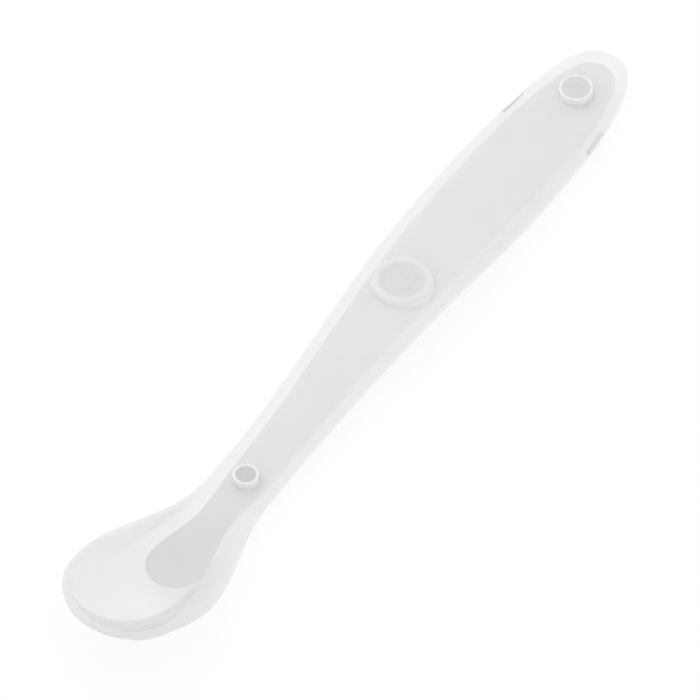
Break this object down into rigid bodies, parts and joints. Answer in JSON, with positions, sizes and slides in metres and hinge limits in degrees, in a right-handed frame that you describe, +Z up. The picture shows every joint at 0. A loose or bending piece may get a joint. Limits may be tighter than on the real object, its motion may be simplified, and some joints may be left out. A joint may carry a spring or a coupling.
{
  "type": "baby spoon",
  "caption": "Baby feeding spoon: an oval bowl and a curved handle of soft milky silicone over a stiff white core that shows through, with a plain smiling emblem disc.",
  "frame": {"origin": "on the table plane, under the middle of the spoon's length and width", "axes": "+X along the spoon from the bowl's tip to the handle's end, +Y across it, +Z up out of the bowl"},
  "size_m": [0.151, 0.02, 0.015],
  "materials": {
    "milky_silicone": "satin, milky and translucent",
    "white_plastic": "matte, opaque white",
    "clear_plastic": "smooth, near white",
    "satin_plastic": "satin, near white"
  },
  "bodies": {
    "root": {"silicone_body": "milky_silicone", "rigid_core": "white_plastic", "neck_stud": "clear_plastic", "emblem_disc": "satin_plastic", "end_stud": "clear_plastic"}
  },
  "joints": []
}
